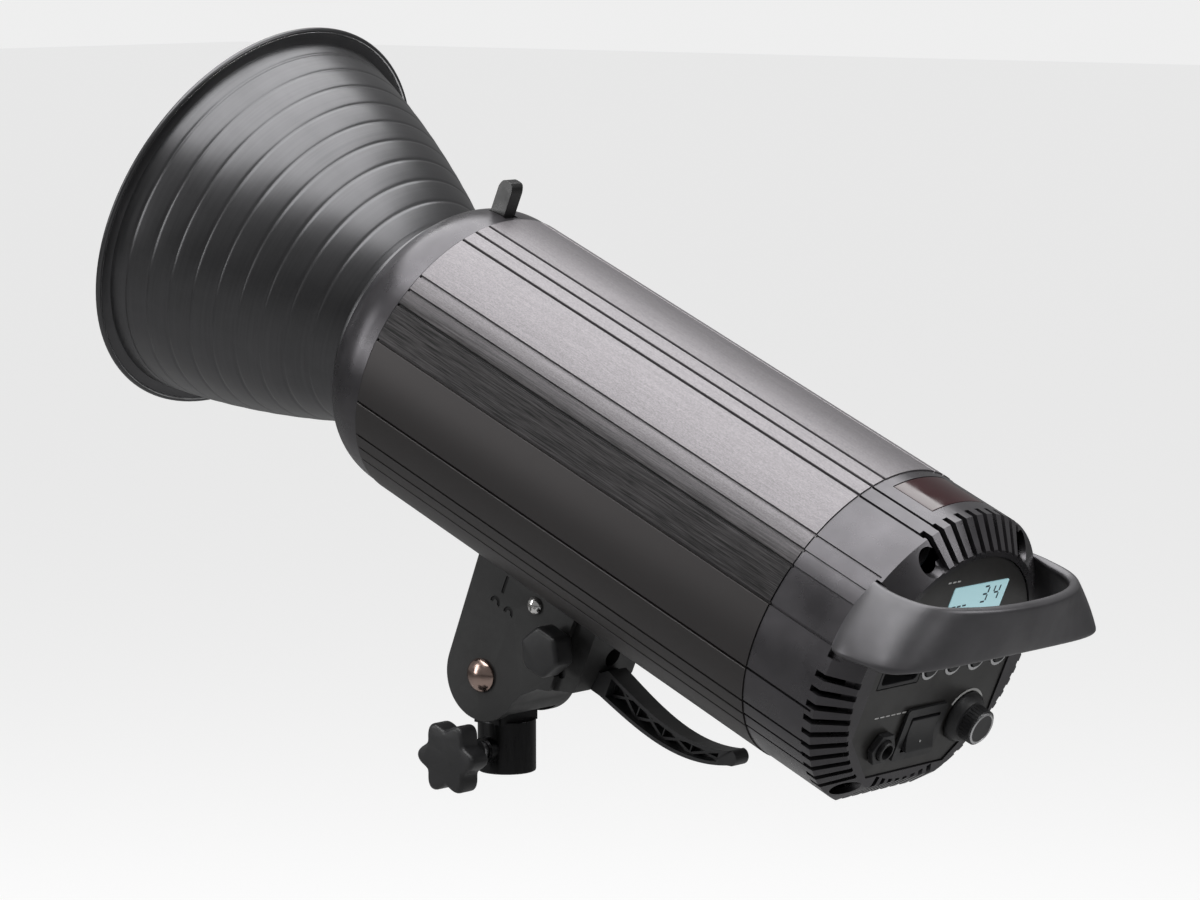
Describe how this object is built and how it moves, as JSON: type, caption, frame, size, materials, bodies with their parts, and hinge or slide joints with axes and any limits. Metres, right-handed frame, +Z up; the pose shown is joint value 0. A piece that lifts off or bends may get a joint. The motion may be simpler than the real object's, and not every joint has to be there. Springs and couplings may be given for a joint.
{
  "type": "monolight studio strobe",
  "caption": "Tube-bodied studio strobe with a bell reflector, rear controls and a loop handle, on a tilting stand bracket with a lock lever and an umbrella hole.",
  "frame": {"origin": "centre of the stand socket's lower rim, where the stand's spigot enters", "axes": "+Z up the stand, +X the way the lamp aims when level, +Y the lamp's left side, where its clamp knobs are"},
  "size_m": [0.4565, 0.184, 0.3182],
  "materials": {
    "stand_metal": "black satin",
    "black_plastic": "moulded, satin",
    "housing_plastic": "moulded dark grey, satin",
    "body_anodised": "dark anodised, brushed",
    "reflector_metal": "spun, dark charcoal, silver inside",
    "bare_steel": "bright",
    "bright_chrome": "polished",
    "brass_piece": "turned",
    "washer_plastic": "pale",
    "ceramic_white": "unglazed white",
    "clear_glass": "clear",
    "sensor_red": "translucent dark red",
    "screen": "clear over a pale blue display",
    "board_green": "circuit board",
    "can_sleeve": "blue sleeve",
    "inner_aluminium": "extruded, bare"
  },
  "bodies": {
    "base": {"stand_socket": "stand_metal"},
    "head": {"tilt_bracket": "black_plastic", "fan_frame": "black_plastic", "control_panel": "black_plastic", "rocker_frame": "black_plastic", "sync_jack": "black_plastic", "sync_jack_nut": "black_plastic", "power_inlet": "black_plastic", "front_housing": "housing_plastic", "rear_cover": "housing_plastic", "carry_handle": "housing_plastic", "body_tube": "body_anodised", "mounting_rail": "bare_steel", "rail_bolt": "bare_steel", "lever_pin": "bare_steel", "latch_pin": "bare_steel", "bayonet_ring": "bare_steel", "rear_screw_1": "bare_steel", "rear_screw_2": "bare_steel", "rear_screw_3": "bare_steel", "rear_screw_4": "bare_steel", "charge_transformer": "bare_steel", "tilt_bolt": "bright_chrome", "cheek_screw_left": "bright_chrome", "cheek_screw_right": "bright_chrome", "lamp_cap": "brass_piece", "friction_washer_left": "washer_plastic", "friction_washer_right": "washer_plastic", "lamp_base": "ceramic_white", "lamp_socket": "ceramic_white", "flash_tube": "clear_glass", "modelling_lamp": "clear_glass", "sensor_window": "sensor_red", "display_window": "screen", "charge_board": "board_green", "panel_board": "board_green", "main_capacitor_1": "can_sleeve", "main_capacitor_2": "can_sleeve", "main_capacitor_3": "can_sleeve", "main_capacitor_4": "can_sleeve", "chassis_plate": "inner_aluminium", "heat_sink": "inner_aluminium"},
    "stand_shoe": {"stand_clamp_shoe": "brass_piece"},
    "stand_knob": {"stand_clamp_screw": "bare_steel", "stand_knob": "black_plastic"},
    "umbrella_shoe": {"umbrella_shoe": "brass_piece"},
    "umbrella_knob": {"umbrella_screw": "bare_steel", "umbrella_knob": "black_plastic"},
    "lock_lever": {"lock_lever": "black_plastic"},
    "brake_shoe": {"brake_shoe": "brass_piece"},
    "reflector": {"reflector_shell": "reflector_metal", "reflector_collar": "reflector_metal"},
    "release_lever": {"release_lever": "black_plastic"},
    "fan": {"fan_rotor": "black_plastic"},
    "dial": {"power_dial": "black_plastic"},
    "rocker": {"rocker_switch": "black_plastic"},
    "button_1": {"button_1": "black_plastic"},
    "button_2": {"button_2": "black_plastic"},
    "button_3": {"button_3": "black_plastic"},
    "button_4": {"button_4": "black_plastic"}
  },
  "joints": [
    {"name": "head_tilt", "type": "hinge", "parent": "base", "child": "head", "pos_m": [-0.0035, 0, 0.044], "axis": [0, -1, 0], "range_deg": [-83.5, 20]},
    {"name": "stand_shoe_slide", "type": "slide", "parent": "base", "child": "stand_shoe", "axis": [0, 1, 0], "range_m": [0, 0.0025]},
    {"name": "stand_knob_turn", "type": "hinge", "parent": "stand_shoe", "child": "stand_knob", "pos_m": [0, 0, 0.0105], "axis": [0, 1, 0], "range_deg": [0, 740]},
    {"name": "umbrella_shoe_slide", "type": "slide", "parent": "head", "child": "umbrella_shoe", "axis": [0, 1, 0], "range_m": [0, 0.002]},
    {"name": "umbrella_knob_turn", "type": "hinge", "parent": "umbrella_shoe", "child": "umbrella_knob", "pos_m": [-0.04765, 0, 0.06002], "axis": [0, 1, 0], "range_deg": [0, 740]},
    {"name": "lock_lever_swing", "type": "hinge", "parent": "head", "child": "lock_lever", "pos_m": [-0.0456, 0, 0.04903], "axis": [0, -1, 0], "range_deg": [0, 25]},
    {"name": "brake_shoe_slide", "type": "slide", "parent": "head", "child": "brake_shoe", "axis": [0.9929, 0, -0.1187], "range_m": [-0.00045, 0]},
    {"name": "reflector_twist", "type": "hinge", "parent": "head", "child": "reflector", "pos_m": [0.14798, 0, 0.2308], "axis": [0.9171, 0, 0.3987], "range_deg": [0, 30]},
    {"name": "release_lever_press", "type": "hinge", "parent": "head", "child": "release_lever", "pos_m": [0.00591, 0, 0.229], "axis": [0, -1, 0], "range_deg": [0, 8], "stiffness_Nm_per_rad": 0.5, "springref_deg": -5.73},
    {"name": "fan_spin", "type": "hinge", "parent": "head", "child": "fan", "pos_m": [-0.16749, 0, 0.09363], "axis": [0.9171, 0, 0.3987], "continuous": true},
    {"name": "dial_turn", "type": "hinge", "parent": "head", "child": "dial", "pos_m": [-0.2177, -0.028, 0.04508], "axis": [0.9171, 0, 0.3987], "continuous": true},
    {"name": "rocker_tip", "type": "hinge", "parent": "head", "child": "rocker", "pos_m": [-0.2167, 0.0005, 0.04279], "axis": [0, -1, 0], "range_deg": [0, 12]},
    {"name": "button_1_press", "type": "slide", "parent": "head", "child": "button_1", "axis": [0.9171, 0, 0.3987], "range_m": [0, 0.001], "stiffness_N_per_m": 300, "springref_m": -0.0005},
    {"name": "button_2_press", "type": "slide", "parent": "head", "child": "button_2", "axis": [0.9171, 0, 0.3987], "range_m": [0, 0.001], "stiffness_N_per_m": 300, "springref_m": -0.0005},
    {"name": "button_3_press", "type": "slide", "parent": "head", "child": "button_3", "axis": [0.9171, 0, 0.3987], "range_m": [0, 0.001], "stiffness_N_per_m": 300, "springref_m": -0.0005},
    {"name": "button_4_press", "type": "slide", "parent": "head", "child": "button_4", "axis": [0.9171, 0, 0.3987], "range_m": [0, 0.001], "stiffness_N_per_m": 300, "springref_m": -0.0005}
  ],
  "couplings": [
    {"joint": "stand_knob_turn", "follows": "stand_shoe_slide", "rad_per_m": 5026.5},
    {"joint": "umbrella_knob_turn", "follows": "umbrella_shoe_slide", "rad_per_m": 6283.2},
    {"joint": "brake_shoe_slide", "follows": "lock_lever_swing", "m_per_rad": -0.00091673}
  ]
}
